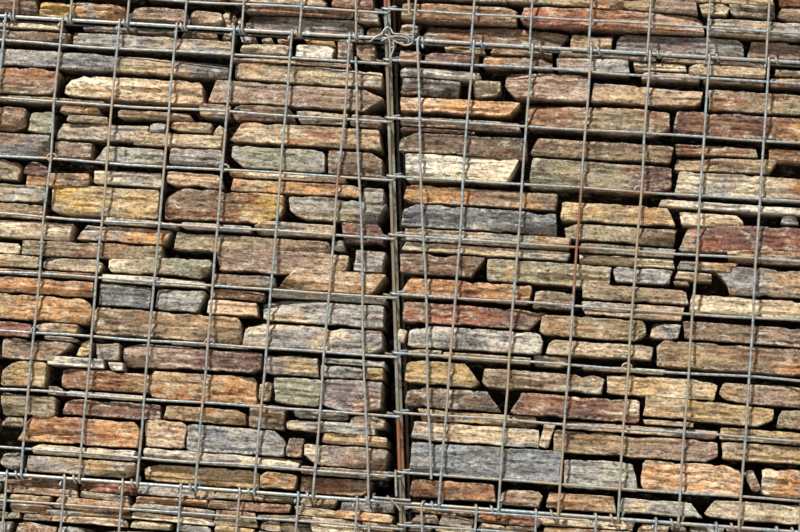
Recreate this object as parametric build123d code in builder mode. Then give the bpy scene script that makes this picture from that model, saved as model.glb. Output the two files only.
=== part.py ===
from build123d import *
from math import cos, radians, tan
import os

os.makedirs("parts", exist_ok=True)

# Mesh wire and locking rods
wire = 4.5
rod = 6.0
weld = 0.3
clearance = 0.3
pitch = 100.0
end_gap = 44.0

# Basket sizes, measured between locking rods
run_count = 8
depth_bar_count = 8
column_length = 970.0
joint_lean = 6.2

# Where the wires of each face panel start from its outer end, and how far
# its slanting edge wire stays from the joint
first_upright = {
    "left": {"bottom": 41.0, "middle": 65.0, "top": 78.0},
    "right": {"bottom": 98.0, "middle": 62.0, "top": 67.0},
}
edge_gap = {
    "left": {"bottom": 54.0, "middle": 53.0, "top": 51.0},
    "right": {"bottom": 36.0, "middle": 54.0, "top": 41.0},
}
least_joint_gap = 42.0
edge_stub = 8.0

# Wires of neighbouring panels miss each other on a shared rod
face_run_lift = {"left": 0.0, "right": 7.0}
end_run_lift = {"left": 7.0, "right": 0.0}
partition_run_lift = -7.0
end_upright_shift = {"bottom": 0.0, "middle": 12.0, "top": 0.0}
cross_step = 5.0
first_ring = {
    "left": {"base_panel": 51.0, "lower_floor_panel": 54.0, "upper_floor_panel": 70.0, "lid_panel": 83.0},
    "right": {"base_panel": 93.0, "lower_floor_panel": 75.0, "upper_floor_panel": 52.0, "lid_panel": 62.0},
}

# Bracing ties, counted in meshes from the outer end and in runs from the foot
tie_meshes = {"left": (3, 6), "right": (2, 5)}
tie_runs = (2, 5)
tie_play = 0.5

signs = {"left": -1, "right": 1}
tiers = ("bottom", "middle", "top")
level_names = ("base_panel", "lower_floor_panel", "upper_floor_panel", "lid_panel")

# Worked out from the sizes above
grip = rod / 2 + clearance + wire
tier_height = (run_count - 1) * pitch + 2 * end_gap
wall_depth = (depth_bar_count - 1) * pitch + 2 * end_gap
half_depth = wall_depth / 2
levels = [grip + number * tier_height for number in range(len(tiers) + 1)]
joint_middle = (levels[0] + levels[-1]) / 2
outer_layer = rod / 2 + clearance + wire / 2
inner_layer = outer_layer - (wire - weld)
post_line = inner_layer - wire / 2 - clearance - rod / 2
slope = tan(radians(joint_lean))
lean_play = wire / 2 * slope
lean_width = wire / cos(radians(joint_lean))
corner_cut = 2.3 * grip
fill_face = inner_layer - wire / 2 - clearance
depth_rod_drop = outer_layer - inner_layer


def joint_x(height):
    """X of the leaning joint between the two columns."""
    return (joint_middle - height) * slope


def tier_span(tier):
    """Heights of the rods below and above one tier."""
    foot = levels[tiers.index(tier)]
    return foot, foot + tier_height


def row(first, count):
    """Places of a row of wires at the mesh pitch."""
    return [first + number * pitch for number in range(count)]


def row_to_joint(side, first, heights):
    """X of a row of wires from the outer end to the joint, clear of it at all the heights."""
    sign = signs[side]
    places = []
    x = sign * (column_length - first)
    while min(sign * (x - joint_x(height)) for height in heights) >= least_joint_gap:
        places.append(x)
        x -= sign * pitch
    return places


def upright_places(side, tier):
    """X of each upright in a face panel."""
    return row_to_joint(side, first_upright[side][tier], tier_span(tier))


def ring_places(side, number):
    """X of each depth wire in a level panel."""
    return row_to_joint(side, first_ring[side][level_names[number]], [levels[number]])


def run_places(tier, lift):
    """Heights of the runs of one tier's upright panels."""
    foot = tier_span(tier)[0]
    return row(foot + end_gap + lift, run_count)


def bar(start, end, width):
    """Draw one straight wire on the current sketch, its ends cut level or plumb."""
    (x0, z0), (x1, z1) = start, end
    if abs(z1 - z0) > abs(x1 - x0):
        half_x, half_z = width / 2, 0
    else:
        half_x, half_z = 0, width / 2
    corners = [
        (x0 - half_x, z0 + half_z),
        (x0 + half_x, z0 - half_z),
        (x1 + half_x, z1 - half_z),
        (x1 - half_x, z1 + half_z),
    ]
    Polygon(*corners, align=None)


def hooked_wire(start, end, outward, end_play=0.0, end_hook=True):
    """Wire from rod to rod, bent half round each. Both points lie on the rods' centre lines."""
    start, end = Vector(*start), Vector(*end)
    along = end - start
    plane = Plane(origin=start, x_dir=along, z_dir=along.cross(Vector(*outward)))
    straight_length = along.length + end_play
    hook_centres = [(0, 0), (straight_length, 0)] if end_hook else [(0, 0)]
    with BuildPart() as bent_wire:
        with BuildSketch(plane):
            with Locations(*hook_centres):
                RegularPolygon(grip, 8, major_radius=False, rotation=22.5)
                RegularPolygon(grip - wire, 8, major_radius=False, rotation=22.5, mode=Mode.SUBTRACT)
            with Locations((straight_length / 2, 0)):
                Rectangle(straight_length, 2 * grip, mode=Mode.SUBTRACT)
            with Locations((straight_length / 2, outer_layer)):
                Rectangle(straight_length, wire)
        extrude(amount=wire / 2, both=True)
    return bent_wire.part


def depth_rod_height(number):
    """Height of the depth rods at one level: just inside the level rods."""
    return levels[number] + depth_rod_drop * (1 if number == 0 else -1)


def edge_wire(side, tier):
    """Slanting wire of a face panel: hooked to the foot rod on the left, the head rod on the right."""
    foot, head = tier_span(tier)
    runs = run_places(tier, face_run_lift[side])
    gap = signs[side] * edge_gap[side][tier]
    if side == "left":
        rod_end, knee, free_end = foot, foot + grip, runs[-1] + edge_stub
    else:
        rod_end, knee, free_end = head, head - grip, runs[0] - edge_stub
    x = joint_x(knee) + gap
    with BuildPart() as slanting:
        add(hooked_wire((x, -half_depth, rod_end), (x, -half_depth, knee), (0, -1, 0), end_hook=False))
        with BuildSketch(Plane.XZ.offset(half_depth + outer_layer - wire / 2)):
            bar((x, knee), (joint_x(free_end) + gap, free_end), lean_width)
        extrude(amount=wire)
    return slanting.part


def face_panel(side, tier):
    """Front mesh panel of one basket, hooked round its rods, with the runs behind the uprights."""
    sign = signs[side]
    foot, head = tier_span(tier)
    runs = run_places(tier, face_run_lift[side])
    face, outward = -half_depth, (0, -1, 0)
    wires = [hooked_wire((x, face, foot), (x, face, head), outward) for x in upright_places(side, tier)]
    wires.append(edge_wire(side, tier))
    post, post_face = sign * (column_length + post_line), -(half_depth + post_line)
    for z in runs:
        wires.append(
            hooked_wire((post, post_face, z), (joint_x(z), post_face, z), outward, end_play=lean_play)
        )
    with BuildPart() as panel:
        add(wires)
    return panel.part


def end_panel(side, tier):
    """Mesh panel that closes the outer end of one basket, hooked round its rods."""
    sign = signs[side]
    number = tiers.index(tier)
    low, high = depth_rod_height(number), depth_rod_height(number + 1)
    rod_x, post_x = sign * column_length, sign * (column_length + post_line)
    post_y = half_depth + post_line
    outward = (sign, 0, 0)
    wires = []
    for y in row(end_gap - half_depth + end_upright_shift[tier], depth_bar_count):
        wires.append(hooked_wire((rod_x, y, low), (rod_x, y, high), outward))
    for z in run_places(tier, end_run_lift[side]):
        wires.append(hooked_wire((post_x, -post_y, z), (post_x, post_y, z), outward))
    with BuildPart() as panel:
        add(wires)
    return panel.part


def partition_panel(tier):
    """Leaning mesh panel shared by the two baskets of one tier."""
    foot, head = tier_span(tier)
    runs = run_places(tier, partition_run_lift)
    reach = half_depth + post_line - rod / 2 - clearance
    tilt = Plane(
        origin=(joint_x(foot), 0, foot),
        x_dir=(0, 1, 0),
        z_dir=(1, 0, slope),
    )
    stretch = 1 / cos(radians(joint_lean))
    low = (grip + clearance) * stretch
    high = (tier_height - grip - clearance) * stretch
    with BuildPart() as panel:
        with BuildSketch(tilt.offset(-weld / 2)):
            for y in row(end_gap - half_depth, depth_bar_count):
                bar((y, low), (y, high), wire)
        extrude(amount=wire)
        with BuildSketch(tilt.offset(weld / 2)):
            for z in runs:
                height = (z - foot) * stretch
                bar((-reach, height), (reach, height), wire)
        extrude(amount=-wire)
    return panel.part


def level_panel(side, number):
    """Level mesh panel, hooked round its rods: the base, a floor between two tiers, or the lid."""
    sign = signs[side]
    outward = (0, 0, -1 if number == 0 else 1)
    level, low = levels[number], depth_rod_height(number)
    wires = []
    for x in ring_places(side, number):
        wires.append(hooked_wire((x, -half_depth, level), (x, half_depth, level), outward))
    for y in row(end_gap - half_depth - sign * cross_step, depth_bar_count):
        wires.append(hooked_wire((sign * column_length, y, low), (joint_x(level), y, low), outward))
    with BuildPart() as panel:
        add(wires)
    return panel.part


def tie_places(side, tier):
    """X and Z of each bracing tie, in the corner above a run and beside an upright."""
    sign = signs[side]
    uprights = upright_places(side, tier)
    runs = run_places(tier, face_run_lift[side])
    step = wire + clearance
    places = []
    for mesh in tie_meshes[side]:
        for run in tie_runs:
            places.append((uprights[mesh] - sign * step, runs[run] + step))
    return places


def stone_fill(side, tier):
    """Mass of hand-packed stone in one basket, with a passage for each tie."""
    sign = signs[side]
    foot, head = tier_span(tier)
    low = foot + outer_layer + wire / 2 + clearance
    if tier == tiers[0]:
        low = foot - inner_layer + wire / 2 + clearance
    high = head + inner_layer - wire / 2 - clearance
    outer = sign * (column_length + fill_face)
    joint_gap = sign * (wire + clearance) / cos(radians(joint_lean))
    outline = [
        (outer, low),
        (joint_x(low) + joint_gap, low),
        (joint_x(high) + joint_gap, high),
        (outer, high),
    ]
    depth = half_depth + fill_face
    passage = wire + 2 * tie_play
    with BuildPart() as fill:
        with BuildSketch(Plane.XZ):
            with BuildLine():
                Polyline(*outline, close=True)
            make_face()
        extrude(amount=depth, both=True)
        chamfer(fill.edges(), length=corner_cut)
        with BuildSketch(Plane.XZ):
            with Locations(*tie_places(side, tier)):
                Rectangle(passage, passage)
        extrude(amount=depth, both=True, mode=Mode.SUBTRACT)
    return fill.part


def save(part, name):
    """Label one finished piece and write it."""
    part.label = name
    export_step(part, f"parts/{name}.step", write_pcurves=False)


# Mesh panels and stone filling of the six baskets
for side in signs:
    for tier in tiers:
        front = face_panel(side, tier)
        save(front, f"front_panel_{side}_{tier}")
        save(mirror(front, about=Plane.XZ), f"back_panel_{side}_{tier}")
        save(end_panel(side, tier), f"end_panel_{side}_{tier}")
        save(stone_fill(side, tier), f"stone_fill_{side}_{tier}")

for tier in tiers:
    save(partition_panel(tier), f"partition_panel_{tier}")

# Level panels, from the base to the lid
for number, level_name in enumerate(level_names):
    for side in signs:
        save(level_panel(side, number), f"{level_name}_{side}")

# Level locking rods along the front and back of each tier joint
for face, direction in (("front", -1), ("back", 1)):
    with BuildPart() as level_rods:
        for level in levels:
            for side, sign in signs.items():
                inner_end = joint_x(level) + sign * clearance
                outer_end = sign * (column_length + rod / 2)
                length = abs(outer_end - inner_end)
                plane = Plane.YZ.offset(min(inner_end, outer_end))
                with BuildSketch(plane):
                    with Locations((direction * half_depth, level)):
                        RegularPolygon(rod / 2, 8)
                extrude(amount=length)
    save(level_rods.part, f"{face}_level_rods")

# Upright locking rods at the four outer corners of each tier
with BuildPart() as corner_rods:
    for tier in tiers:
        foot, head = tier_span(tier)
        low = foot + grip + clearance
        high = head - depth_rod_drop - rod / 2 - clearance
        with BuildSketch(Plane.XY.offset(low)):
            for sign in signs.values():
                for direction in (-1, 1):
                    x = sign * (column_length + post_line)
                    with Locations((x, direction * (half_depth + post_line))):
                        RegularPolygon(rod / 2, 8)
        extrude(amount=high - low)
save(corner_rods.part, "corner_rods")

# Leaning locking rods at the joint between the two columns
with BuildPart() as joint_rods:
    for tier in tiers:
        foot, head = tier_span(tier)
        low = foot + grip + clearance
        high = head - depth_rod_drop - rod / 2 - clearance
        along = Plane(origin=(joint_x(low), 0, low), x_dir=(0, 1, 0), z_dir=(-slope, 0, 1))
        with BuildSketch(along):
            for direction in (-1, 1):
                with Locations((direction * (half_depth + post_line), 0)):
                    RegularPolygon(rod / 2, 8)
        extrude(amount=(high - low) / cos(radians(joint_lean)))
save(joint_rods.part, "joint_rods")

# Depth rods at the outer ends and at the joint of each tier level
with BuildPart() as depth_rods:
    reach = half_depth - rod / 2 - clearance
    for number, level in enumerate(levels):
        with BuildSketch(Plane.XZ.offset(-reach)):
            for x in (-column_length, joint_x(level), column_length):
                with Locations((x, depth_rod_height(number))):
                    RegularPolygon(rod / 2, 8)
        extrude(amount=2 * reach)
save(depth_rods.part, "depth_rods")

# Bracing ties from the front panels through the stone to the back panels
for side in signs:
    with BuildPart() as bracing_ties:
        tie_reach = half_depth + inner_layer + wire / 2
        with BuildSketch(Plane.XZ):
            for tier in tiers:
                with Locations(*tie_places(side, tier)):
                    Rectangle(wire, wire)
        extrude(amount=tie_reach, both=True)
    save(bracing_ties.part, f"bracing_ties_{side}")
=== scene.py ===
import random
from math import cos, floor, pi, radians, sin, tan

import bmesh
import bpy
from mathutils import Matrix, Vector, noise


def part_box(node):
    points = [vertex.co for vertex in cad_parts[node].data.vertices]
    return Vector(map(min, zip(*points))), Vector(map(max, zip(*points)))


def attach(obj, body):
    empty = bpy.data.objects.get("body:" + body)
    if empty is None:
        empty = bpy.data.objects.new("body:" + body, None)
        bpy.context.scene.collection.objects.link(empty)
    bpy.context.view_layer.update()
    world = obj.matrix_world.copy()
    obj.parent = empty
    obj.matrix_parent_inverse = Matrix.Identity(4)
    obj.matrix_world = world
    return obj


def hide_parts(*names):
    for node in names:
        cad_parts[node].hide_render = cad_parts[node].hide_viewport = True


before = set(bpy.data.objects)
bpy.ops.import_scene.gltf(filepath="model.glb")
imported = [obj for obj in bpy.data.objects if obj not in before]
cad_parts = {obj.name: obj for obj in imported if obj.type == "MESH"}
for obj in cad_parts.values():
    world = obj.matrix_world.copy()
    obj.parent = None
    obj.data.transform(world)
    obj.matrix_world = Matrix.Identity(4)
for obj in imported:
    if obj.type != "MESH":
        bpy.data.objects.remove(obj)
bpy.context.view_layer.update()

# The wall's own sizes in metres, the same as in the model
wall = {
    "wire": 0.0045,
    "rod": 0.006,
    "weld": 0.0003,
    "clearance": 0.0003,
    "pitch": 0.100,
    "endGap": 0.044,
    "runs": 8,
    "depthBars": 8,
    "columnLength": 0.970,
    "lean": radians(6.2),
    "firstUpright": {
        "left": {"bottom": 0.041, "middle": 0.065, "top": 0.078},
        "right": {"bottom": 0.098, "middle": 0.062, "top": 0.067},
    },
    "edgeGap": {
        "left": {"bottom": 0.054, "middle": 0.053, "top": 0.051},
        "right": {"bottom": 0.036, "middle": 0.054, "top": 0.041},
    },
    "firstRing": {
        "left": (0.051, 0.054, 0.070, 0.083),       # one for each level, from the base up
        "right": (0.093, 0.075, 0.052, 0.062),
    },
    "leastJointGap": 0.042,
    "edgeStub": 0.008,
    "faceRunLift": {"left": 0.0, "right": 0.007},
    "endRunLift": {"left": 0.007, "right": 0.0},
    "endUprightShift": {"bottom": 0.0, "middle": 0.012, "top": 0.0},
    "crossStep": 0.005,
    "tieMeshes": {"left": (3, 6), "right": (2, 5)},
    "tieRuns": (2, 5),
}
signs = {"left": -1, "right": 1}
tiers = ("bottom", "middle", "top")
levelNames = ("base_panel", "lower_floor_panel", "upper_floor_panel", "lid_panel")

wireRadius = wall["wire"] / 2
grip = wall["rod"] / 2 + wall["clearance"] + wall["wire"]
tierHeight = (wall["runs"] - 1) * wall["pitch"] + 2 * wall["endGap"]
halfDepth = ((wall["depthBars"] - 1) * wall["pitch"] + 2 * wall["endGap"]) / 2
levels = [grip + number * tierHeight for number in range(len(tiers) + 1)]
jointMiddle = (levels[0] + levels[-1]) / 2
outerLayer = wall["rod"] / 2 + wall["clearance"] + wireRadius
innerLayer = outerLayer - (wall["wire"] - wall["weld"])
postLine = innerLayer - wireRadius - wall["clearance"] - wall["rod"] / 2
depthRodDrop = outerLayer - innerLayer
slope = tan(wall["lean"])


def jointX(height):
    return (jointMiddle - height) * slope


def tierSpan(tier):
    foot = levels[tiers.index(tier)]
    return foot, foot + tierHeight


def rowToJoint(side, first, heights):
    sign = signs[side]
    places = []
    x = sign * (wall["columnLength"] - first)
    while min(sign * (x - jointX(height)) for height in heights) >= wall["leastJointGap"] - 1e-6:
        places.append(x)
        x -= sign * wall["pitch"]
    return places


def uprightPlaces(side, tier):
    return rowToJoint(side, wall["firstUpright"][side][tier], tierSpan(tier))


def runPlaces(tier, lift):
    foot = tierSpan(tier)[0]
    return [foot + wall["endGap"] + lift + number * wall["pitch"] for number in range(wall["runs"])]


def linear(hexColour, alpha=1.0):
    parts = [int(hexColour[i:i + 2], 16) / 255 for i in (1, 3, 5)]
    return tuple(c / 12.92 if c <= 0.04045 else ((c + 0.055) / 1.055) ** 2.4 for c in parts) + (alpha,)


def addNode(tree, kind, links=None, values=None, **settings):
    node = tree.nodes.new(kind)
    for key, value in settings.items():
        setattr(node, key, value)
    for socket, value in (values or {}).items():
        node.inputs[socket].default_value = value
    for socket, source in (links or {}).items():
        tree.links.new(source, node.inputs[socket])
    return node


def newMaterial(name, **shaderValues):
    material = bpy.data.materials.new(name)
    material.use_nodes = True
    tree = material.node_tree
    tree.nodes.clear()
    shader = addNode(tree, "ShaderNodeBsdfPrincipled", values=shaderValues)
    addNode(tree, "ShaderNodeOutputMaterial", {0: shader.outputs[0]})
    return material, tree, shader


def addRamp(tree, source, stops):
    ramp = addNode(tree, "ShaderNodeValToRGB", {0: source})
    elements = ramp.color_ramp.elements
    while len(elements) < len(stops):
        elements.new(0.5)
    for element, (position, level) in zip(elements, stops):
        element.position = position
        element.color = level if isinstance(level, tuple) else (level, level, level, 1)
    return ramp.outputs[0]


def addMix(tree, factor, first, second, blend="MIX"):
    node = addNode(tree, "ShaderNodeMix", data_type="RGBA", blend_type=blend)
    for socket, source in ((0, factor), (6, first), (7, second)):
        if isinstance(source, (float, tuple)):
            node.inputs[socket].default_value = source
        else:
            tree.links.new(source, node.inputs[socket])
    return node.outputs[2]


def multiply(tree, first, second):
    return addNode(tree, "ShaderNodeMath", {0: first, 1: second}, operation="MULTIPLY").outputs[0]


# Split schist, laid on its bed: dull and layered, with iron stains and pale broken arrises
schistLook = {
    "roughness": 0.92,
    "specular": 0.25,
    # Each pattern: its size in metres, its stretch along the bed, then detail, roughness and distortion
    "layers": (0.0075, 0.20, 4.0, 0.6, 0.3),        # five times longer than they are thick
    "leaves": (0.0042, 0.30, 3.0, 0.7, 0.0),        # finer layers within them
    "veins": (0.055, 0.45, 6.0, 0.65, 0.4),
    "stain": (0.040, 0.5, 6.0, 0.7, 0.6),
    "fleck": (0.014, 0.6, 4.0, 0.7, 0.3),
    "grain": (0.0042, 0.8, 3.0, 0.75, 0.0),         # drawn coarser than the real grain, so that it shows
    "rust": "#9A6236",
    "pale": "#D2C9B4",
    "umber": "#4B3A2C",
    # painted shade: near-black colour of the core inside each basket
    "dark": "#2A231D",
    # How strongly each pattern shows, from level to level
    "veinRamp": ((0.46, 0.0), (0.56, 1.0)),
    "rustRamp": ((0.52, 0.0), (0.64, 1.0)),
    "umberRamp": ((0.32, 0.55), (0.42, 0.0)),
    "fleckRamp": ((0.54, 0.0), (0.66, 0.46)),
    "crumbRamp": ((0.50, 0.0), (0.60, 0.55)),
    # How much darker or paler the layers, leaves and grain make the stone
    "layerRamp": ((0.34, (0.55, 0.53, 0.52, 1)), (0.46, 0.97), (0.68, (1.28, 1.26, 1.22, 1))),
    "leafRamp": ((0.39, (0.20, 0.18, 0.17, 1)), (0.44, 0.97), (0.68, (1.26, 1.24, 1.20, 1))),
    "grainRamp": ((0.36, 0.48), (0.50, 1.0), (0.66, 1.42)),
    "layerShare": 1.0,
    "leafShare": 0.76,
    "grainShare": 0.8,
    "layerRelief": 0.0030,      # metres
    "leafRelief": 0.0016,
    "grainRelief": 0.0015,
}


def schistMaterial():
    look = schistLook
    material, tree, shader = newMaterial("splitSchist", Roughness=look["roughness"])
    shader.inputs["Specular IOR Level"].default_value = look["specular"]
    place = addNode(tree, "ShaderNodeTexCoord").outputs["Object"]
    own = addNode(tree, "ShaderNodeAttribute", attribute_name="own").outputs["Vector"]
    spot = addNode(tree, "ShaderNodeVectorMath", {0: place, 1: own}).outputs[0]

    def pattern(name):
        size, stretch, detail, roughness, distortion = look[name]
        flat = addNode(tree, "ShaderNodeMapping", {0: spot}, {"Scale": (stretch, stretch, 1.0)})
        return addNode(tree, "ShaderNodeTexNoise", {0: flat.outputs[0]},
                       {"Scale": 1 / size, "Detail": detail, "Roughness": roughness,
                        "Distortion": distortion}).outputs[0]

    tone = addNode(tree, "ShaderNodeAttribute", attribute_name="tone")
    second = addNode(tree, "ShaderNodeAttribute", attribute_name="vein")
    edge = addNode(tree, "ShaderNodeAttribute", attribute_name="edge")
    layers, leaves, grain = pattern("layers"), pattern("leaves"), pattern("grain")
    stain = pattern("stain")
    colour = addMix(tree, addRamp(tree, pattern("veins"), look["veinRamp"]), tone.outputs["Color"],
                    second.outputs["Color"])
    rusty = multiply(tree, addRamp(tree, stain, look["rustRamp"]), tone.outputs["Alpha"])
    colour = addMix(tree, rusty, colour, linear(look["rust"]))
    colour = addMix(tree, addRamp(tree, stain, look["umberRamp"]), colour, linear(look["umber"]))
    colour = addMix(tree, addRamp(tree, pattern("fleck"), look["fleckRamp"]), colour, linear(look["pale"]))
    for name, source in (("layer", layers), ("leaf", leaves), ("grain", grain)):
        shade = addRamp(tree, source, look[name + "Ramp"])
        colour = addMix(tree, look[name + "Share"], colour, shade, "MULTIPLY")
    crumbs = multiply(tree, addRamp(tree, grain, look["crumbRamp"]), edge.outputs["Fac"])
    colour = addMix(tree, crumbs, colour, linear(look["pale"]))
    tree.links.new(colour, shader.inputs["Base Color"])
    below = {}
    for name, source in (("layer", layers), ("leaf", leaves), ("grain", grain)):
        bump = addNode(tree, "ShaderNodeBump", {"Height": source, **below},
                       {"Strength": 1.0, "Distance": look[name + "Relief"]})
        below = {"Normal": bump.outputs[0]}
    tree.links.new(bump.outputs[0], shader.inputs["Normal"])
    return material


schist = schistMaterial()

# Stone tones, each with the share of iron stain that it takes
tones = {
    "buff": ("#B49F81", 0.45), "cream": ("#CDBB9D", 0.40), "tan": ("#A48C6C", 0.55),
    "ochre": ("#AA8F64", 0.50), "gold": ("#BA9756", 0.50), "orange": ("#AF855C", 0.65),
    "peach": ("#BB9D7E", 0.45), "rust": ("#8A664E", 0.80), "red": ("#8A5A47", 0.75),
    "maroon": ("#6F544A", 0.60), "rose": ("#988170", 0.50), "plum": ("#7D726E", 0.40),
    "brown": ("#806C57", 0.50), "dark": ("#5B5045", 0.30), "olive": ("#8F8167", 0.40),
    "green": ("#8D8973", 0.30), "grey": ("#969189", 0.25), "slate": ("#757471", 0.15),
    "blue": ("#828485", 0.12), "white": ("#C1B8A8", 0.22), "sage": ("#B0AE98", 0.15),
}
companions = {      # tones that run through each tone in veins
    "buff": ("tan", "grey", "ochre", "cream"), "cream": ("buff", "grey", "white", "tan"),
    "tan": ("brown", "grey", "rose", "olive"), "ochre": ("olive", "tan", "rust", "grey"),
    "gold": ("ochre", "rust", "olive"), "orange": ("tan", "rust", "brown", "grey"),
    "peach": ("orange", "cream", "grey"), "rust": ("brown", "orange", "maroon", "tan"),
    "red": ("maroon", "orange", "brown"), "maroon": ("rust", "brown", "plum", "dark"),
    "rose": ("tan", "plum", "grey", "brown"), "plum": ("rose", "grey", "brown"),
    "brown": ("tan", "dark", "slate", "rust"), "dark": ("brown", "slate", "olive"),
    "olive": ("brown", "grey", "green", "rust"), "green": ("olive", "grey", "buff"),
    "grey": ("buff", "slate", "tan", "white"), "slate": ("grey", "brown", "blue"),
    "blue": ("grey", "slate"), "white": ("grey", "cream", "slate"), "sage": ("grey", "cream", "green"),
}
toneShares = {
    "buff": 8, "cream": 3, "tan": 8, "ochre": 4, "gold": 1, "orange": 4, "peach": 2, "rust": 4, "red": 1,
    "maroon": 2, "rose": 4, "plum": 2, "brown": 6, "dark": 2, "olive": 6, "green": 2, "grey": 3, "slate": 2,
    "blue": 2, "white": 1,
}
toneBag = [name for name in toneShares for number in range(toneShares[name])]

slab = {
    "fineStep": 0.0060,             # facets on the stones that the camera sees
    "coarseStep": 0.024,
    "depth": 0.140,
    "depthSpread": (0.8, 1.1),
    "back": (-0.0015, 0.0035),      # how far the face stands back, metres
    "backScatter": 0.0035,
    "levelSetback": 0.016,          # stones stay behind the rods and hooks
    "setbackSpread": 0.006,
    "levelReach": 0.009,            # how near a level a stone has to be to stay back
    "lean": 0.0015,                 # the face's stones lean out against the mesh
    "rounding": (0.02, 0.14),       # of the ends, as a share of half the height
    "twist": 0.03,
    "taper": 0.06,
    "wander": (0.78, 1.14),         # how much darker or paler than its tone
    "iron": (0.4, 1.2),
    "arris": 0.0011,                # broken edge round the face
    "arrisShare": 0.12,
    "arrisDepth": 1.2,              # in widths of the arris
    "ledge": 0.0016,                # steps where layers have come away
    "ledgeSteep": 6,
    "bulge": 0.0022,
    "shallowest": 0.0005,           # the face stays at least this far back
    "outline": 0.0010,
    "endOutline": 0.0018,           # the ends are rougher than the beds
    "notch": 0.0055,
    "notchFrom": 0.34,              # the share of the edge that stays whole
    "jag": 0.0009,
    "jagIn": 0.3,
    "chips": 0.6,                   # their relief as a share of the ledges'
    "fullHeight": 0.028,            # thinner slabs have a finer outline
    "endCut": 0.9,                  # reach of a slanting end, in heights
    "cornerChance": 0.35,
    "upperChance": 0.6,
    "cornerReach": (0.2, 1.0),      # in heights
    "cornerDrop": (0.12, 0.40),
    "splitCounts": (0, 1, 1, 2),
    "splitReach": (0.15, 0.5),      # shares of the length
    "splitLevel": (0.25, 0.75),     # shares of the height
    "splitFall": (0.0012, 0.0040),
    "splitWander": 0.16,
    "planeStart": (0.25, 0.42),     # where the face begins to fall away to a corner
    "planeFall": (0.15, 0.5),
    "planeDepth": 0.12,
    "planeUpward": 0.8,
    "tipBlend": 0.030,              # metres from one tone to the other
    "rearShade": 0.1,               # painted shade: the stones' far ends are coloured darker, as if in the dark
}
# Waves a metre of each roughness, along the bed and across it
slabWaves = {"notch": (34, 50), "jag": (125, 9), "ripple": (55, 0), "outline": (30, 30), "layer": (9, 170),
             "bulge": (18, 36), "chips": (80, 120), "split": (22, 1), "tip": (30, 60)}


def stoneLayers(bm):
    layers = bm.verts.layers
    kinds = (("tone", layers.float_color), ("vein", layers.float_color), ("own", layers.float_vector),
             ("edge", layers.float))
    return {name: kind.get(name) or kind.new(name) for name, kind in kinds}


def newPile(seed, fine=False):
    bm = bmesh.new()
    stoneLayers(bm)
    return {"bm": bm, "rng": random.Random(seed), "fine": fine}


def slabShell(bm, across, up):
    # A flat face with two rims behind it and a back: returns the face's vertices and the rims
    face = bmesh.ops.create_grid(bm, x_segments=across, y_segments=up, size=0.5)["verts"]
    loop = [edge for edge in bm.edges if edge.is_boundary]
    rims = []
    for number in range(2):
        made = bmesh.ops.extrude_edge_only(bm, edges=loop)["geom"]
        rims.append([item for item in made if isinstance(item, bmesh.types.BMVert)])
        loop = [item for item in made if isinstance(item, bmesh.types.BMEdge) and item.is_boundary]
    bmesh.ops.edgeloop_fill(bm, edges=loop)
    return face, rims


def shaded(tone, wander, stained):
    return Vector([c * wander for c in linear(tones[tone][0])[:3]] + [stained])


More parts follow.
